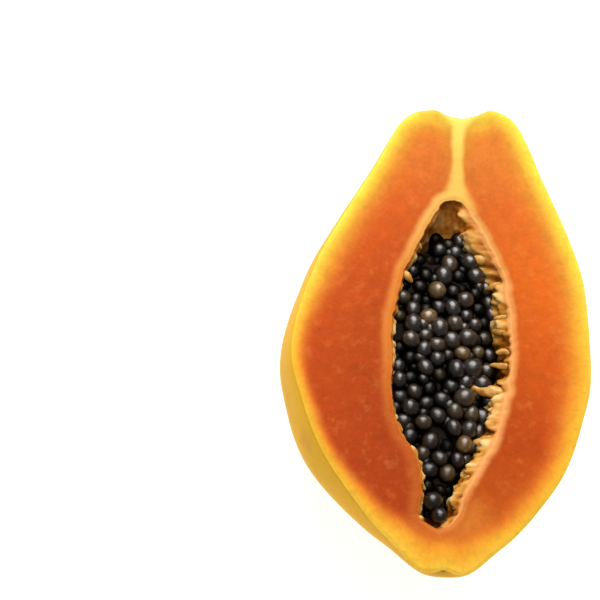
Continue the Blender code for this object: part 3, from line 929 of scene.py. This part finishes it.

# Black seed in a clear sack: near black, with brown and olive ones between, wrinkles of a millimetre or so,
# and a broad soft gloss. Painted shade darkens a seed's colour and fades its gloss where it is sunk in the
# heap and towards the blossom end.
seed_skin, shader = new_material(
    "seed_in_wet_sack",
    Roughness=0.50,
    IOR=1.50,
    Specular_Tint=to_linear("f4e6d2"),
    Coat_Roughness=0.28,
    Coat_IOR=1.9,
    Coat_Tint=to_linear("f7efe2"),
)
place = add_node(seed_skin, "TexCoord", output=3)
tone = add_node(seed_skin, "Attribute", output=2, attribute_name="seed_tone")
own_colour = add_node(
    seed_skin,
    "ValToRGB",
    (tone,),
    stops=[
        (0.0, "0e0806"),
        (1.0, "886638"),
        (0.30, "1c120c"),
        (0.62, "2e2014"),
        (0.80, "44351e"),
        (0.91, "604e2a"),
    ],
)
wrinkle = add_node(seed_skin, "TexNoise", {"Vector": place, "Scale": 700.0, "Detail": 2.0})
wrinkled = add_node(seed_skin, "MapRange", (wrinkle, 0.25, 0.75, 0.5, 1.5))
# Painted shade: colour, coat and gloss fall off with a seed's depth under the heap's top, and towards the
# blossom end.
depth = add_node(seed_skin, "Attribute", output=2, attribute_name="seed_depth")
in_light = add_node(
    seed_skin, "MapRange", (depth, 0.0004, 0.0034, 1.0, 0.04), interpolation_type="SMOOTHSTEP"
)
length = add_node(seed_skin, "SeparateXYZ", (place,), output=1)
stemward = add_node(seed_skin, "MapRange", (length, -0.050, 0.010, 0.60, 1.0))
painted_light_share = add_node(seed_skin, "Math", (in_light, stemward), operation="MULTIPLY")
seed_skin.node_tree.links.new(painted_light_share, shader.inputs["Coat Weight"])
gloss = add_node(seed_skin, "Math", (painted_light_share, 0.35), operation="MULTIPLY")
seed_skin.node_tree.links.new(gloss, shader.inputs["Specular IOR Level"])
shade = add_node(seed_skin, "Math", (wrinkled, painted_light_share), operation="MULTIPLY")
shaded = add_node(seed_skin, "VectorMath", {0: own_colour, "Scale": shade}, operation="SCALE")
seed_skin.node_tree.links.new(shaded, shader.inputs["Base Color"])
bump = add_node(seed_skin, "Bump", {"Height": wrinkle, "Strength": 0.25, "Distance": 0.0004})
seed_skin.node_tree.links.new(bump, shader.inputs["Normal"])
seeds = finished_piece("seeds_fine", heap, [seed_skin])
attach(seeds, "root")
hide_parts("seeds")


# The pulp that the seeds stand in: a wet mass that fills the cavity under them, coloured near black as
# painted shade between the seeds. It is spun as a spindle, then its upper half is pushed down to just under
# the seeds' tops.
PULP_STEPS = 70
PULP_SIDES = 40
PULP_WALL_GAP = 0.0020
PULP_LEAST_ROOM = 0.0068
PULP_LUMPS = 0.0008
PULP_LUMP_SIZE = 0.0025
PULP_END_FALL = 0.006
PULP_END_LENGTH = 0.008

pulp = bmesh.new()
roomy = [p for p in smooth_points(MOUTH_OUTLINE, PULP_STEPS) if p.x > PULP_LEAST_ROOM]
chain = [pulp.verts.new((p.x - PULP_WALL_GAP, p.y, 0.0)) for p in roomy if p.y <= HEAP_STEM_STATION]
edges = [pulp.edges.new(pair) for pair in zip(chain, chain[1:])]
bmesh.ops.spin(
    pulp,
    geom=chain + edges,
    cent=(0, 0, 0),
    axis=(0, 1, 0),
    angle=2 * math.pi,
    steps=PULP_SIDES,
    use_merge=True,
)
bmesh.ops.holes_fill(pulp, edges=[e for e in pulp.edges if e.is_boundary])
bmesh.ops.recalc_face_normals(pulp, faces=pulp.faces)
for v in pulp.verts:
    half_width = math.hypot(v.co.x, v.co.z)
    across = v.co.x / half_width
    deepest = -half_width * CAVITY_DEPTH_RATIO
    end_start = HEAP_STEM_STATION - PULP_END_LENGTH
    end_fall = PULP_END_FALL * smooth_step(end_start, HEAP_STEM_STATION, v.co.y)
    lumps = PULP_LUMPS * noise.noise(v.co / PULP_LUMP_SIZE)
    top = max(heap_level(across, v.co.y) - CORE_DROP - end_fall + lumps, deepest)
    reach = math.sqrt(max(1 - (top / deepest) ** 2, 0.0))
    if v.co.z > 0:
        across *= reach
    else:
        across = min(max(across, -reach), reach)
        top = min(top, deepest * math.sqrt(max(1 - across * across, 0.0)))
    v.co.z = CUT_HEIGHT + top
    v.co.x = value_at(middle, v.co.y) + across * half_width
bmesh.ops.remove_doubles(pulp, verts=pulp.verts, dist=WELD)

# Pulp between the seeds: almost black, with the faintest brown, a painted shade.
pulp_skin, shader = new_material("pulp_painted_shade_black", Roughness=0.75, IOR=1.25)
place = add_node(pulp_skin, "TexCoord", output=3)
murk = add_node(pulp_skin, "TexNoise", {"Vector": place, "Scale": 400.0, "Detail": 2.0})
painted_shade_murk = add_node(pulp_skin, "ValToRGB", (murk,), stops=[(0.3, "040201"), (0.8, "1c0e04")])
pulp_skin.node_tree.links.new(painted_shade_murk, shader.inputs["Base Color"])
seed_pulp = finished_piece("seed_pulp", pulp, [pulp_skin])
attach(seed_pulp, "root")


# The placenta's strands: soft cream threads and pads that held the seeds to the wall, cut through with it.
# Each is a ball drawn out along a bent path from the lip of the cavity down to the seeds, or over them.
# Side, station, drift along the fruit, reach over the seeds and half thickness, in millimetres.
STRANDS = [
    (1, 41.0, -0.5, 4.8, 1.9),
    (1, 31.3, -1.0, 10.5, 2.9),
    (1, 22.6, -2.6, 6.2, 1.7),
    (1, 15.6, 0.0, 6.0, 2.2),
    (1, 9.8, -0.6, 5.4, 1.6),
    (1, 5.0, -0.8, 6.2, 2.1),
    (1, -3.4, 0.2, 5.4, 2.0),
    (1, -8.8, 0.6, 7.4, 1.8),
    (1, -19.0, 2.2, 14.0, 3.4),
    (1, -25.0, 0.0, 5.4, 1.6),
    (1, -31.0, -0.4, 4.8, 1.8),
    (1, -36.0, -1.8, 7.6, 2.3),
    (1, -44.6, -1.2, 4.8, 2.4),
    (1, -50.8, -0.8, 3.6, 1.8),
    (1, -57.4, -0.5, 2.8, 1.5),
    (1, -62.8, 0.2, 2.8, 1.5),
    (-1, 34.0, -1.6, 2.0, 1.3),
    (-1, 22.5, -3.0, 4.0, 1.9),
    (-1, -4.6, -0.6, 3.0, 1.8),
    (-1, -15.0, -0.8, 2.4, 1.6),
    (-1, -31.0, -1.2, 2.4, 1.8),
    (-1, -42.6, -3.6, 5.6, 2.6),
    (-1, -47.6, 0.2, 2.6, 1.7),
    (-1, -55.4, -1.4, 2.6, 1.6),
    (-1, -67.4, -0.6, 2.4, 1.4),
]
# How deep a strand is rooted, how it bends and slopes, and how it tapers, in millimetres or as shares.
ROOT_IN_WALL = 0.8
ROOT_DEPTH = 0.9
ROOT_DEPTH_PER_THICKNESS = 0.7
STRAND_BEND = (0.6, 0.3, -0.3)
STRAND_SLOPE = 0.32
LYING_REACH = 9.0
LYING_RISE = 0.75
BLUNTNESS = 0.25
POLE_WIDTH = 0.05
GIRTH_AT_ROOT = 0.85
GIRTH_LOST = 0.30
FLATNESS = 0.75
STRAND_WAVES = 0.0005
STRAND_WAVE_SIZE = 0.0030
STRAND_SIDES = 14
STRAND_RINGS = 18
STRAND_DRAW = 3

noise.seed_set(STRAND_DRAW)
strands = bmesh.new()
for side, station, drift, reach, thickness in STRANDS:
    lip = value_at(middle, station / 1000) + side * value_at(mouth, station / 1000)
    root_depth = (ROOT_DEPTH + ROOT_DEPTH_PER_THICKNESS * thickness) / 1000
    root = Vector((lip + side * ROOT_IN_WALL / 1000, station / 1000, CUT_HEIGHT - root_depth))
    bend = root + Vector((-side * reach * STRAND_BEND[0], drift * STRAND_BEND[1], STRAND_BEND[2])) / 1000
    drop = ROOT_IN_WALL + reach * STRAND_SLOPE - max(reach - LYING_REACH, 0.0) * LYING_RISE
    tip = root + Vector((-side * (reach + ROOT_IN_WALL), drift, -drop)) / 1000
    ball = bmesh.ops.create_uvsphere(strands, u_segments=STRAND_SIDES, v_segments=STRAND_RINGS, radius=1.0)
    for v in ball["verts"]:
        t = 0.5 + 0.5 * v.co.z
        blunt = max(math.hypot(v.co.x, v.co.y), POLE_WIDTH) ** -BLUNTNESS
        along = (root * (1 - t) + bend * 2 * t) * (1 - t) + tip * t * t
        heading = ((bend - root) * (1 - t) + (tip - bend) * t).normalized()
        level = heading.cross(Vector((0, 0, 1))).normalized()
        girth = thickness / 1000 * (GIRTH_AT_ROOT - GIRTH_LOST * t) * blunt
        v.co = along + (level * v.co.x + level.cross(heading) * v.co.y * FLATNESS) * girth
        v.co += STRAND_WAVES * noise.noise_vector(v.co / STRAND_WAVE_SIZE)
bmesh.ops.recalc_face_normals(strands, faces=strands.faces)

# Soft cream placenta, moist and a little clear, with amber where it thins.
strand_skin, shader = new_material(
    "cream_placenta_threads",
    Roughness=0.42,
    IOR=1.38,
    Coat_Weight=0.25,
    Coat_Roughness=0.20,
    Subsurface_Weight=0.20,
    Subsurface_Radius=(1.0, 0.5, 0.2),
    Subsurface_Scale=0.002,
)
place = add_node(strand_skin, "TexCoord", output=3)
patches = add_node(strand_skin, "TexNoise", {"Vector": place, "Scale": 420.0, "Detail": 3.0})
thread_colour = add_node(
    strand_skin,
    "ValToRGB",
    (patches,),
    stops=[(0.26, "a8681e"), (0.76, "ffd488"), (0.50, "e6a64c")],
)
strand_skin.node_tree.links.new(thread_colour, shader.inputs["Base Color"])
placenta = finished_piece("placenta_strands", strands, [strand_skin])
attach(placenta, "root")


# The table and the light. A white acrylic sheet, lit softly from below as for a catalogue, runs off on every
# side. A broad lamp stands beyond the stem end, a weaker one hangs overhead, and the room is dim and even.
FLOOR_SIZE = 6.0
LAMP_AIM = Vector((0, 0, 0.05))
# Each lamp's place, width and watts.
LAMPS = {
    "stem_lamp": (Vector((-0.05, 0.82, 0.98)), 1.20, 18.8),
    "top_lamp": (Vector((-0.20, 0.10, 1.60)), 1.20, 5.0),
}

table = bmesh.new()
bmesh.ops.create_grid(table, x_segments=1, y_segments=1, size=FLOOR_SIZE / 2)
acrylic, shader = new_material(
    "white_acrylic",
    Roughness=0.90,
    Base_Color=to_linear("b8b8b8"),
    Emission_Color=to_linear("ffffff"),
    Emission_Strength=0.90,
)
floor = finished_piece("table", table, [acrylic])

for name, (spot, size, watts) in LAMPS.items():
    lamp_data = bpy.data.lights.new(name, "AREA")
    lamp_data.shape = "DISK"
    lamp_data.size = size
    lamp_data.energy = watts
    lamp = bpy.data.objects.new(name, lamp_data)
    lamp.location = spot
    lamp.rotation_euler = (LAMP_AIM - spot).to_track_quat("-Z", "Y").to_euler()
    bpy.context.scene.collection.objects.link(lamp)

room = bpy.data.worlds.new("room")
room.use_nodes = True
background = room.node_tree.nodes["Background"]
background.inputs["Color"].default_value = to_linear("ffffff")
background.inputs["Strength"].default_value = 0.15
bpy.context.scene.world = room
bpy.context.scene.view_settings.view_transform = "Standard"
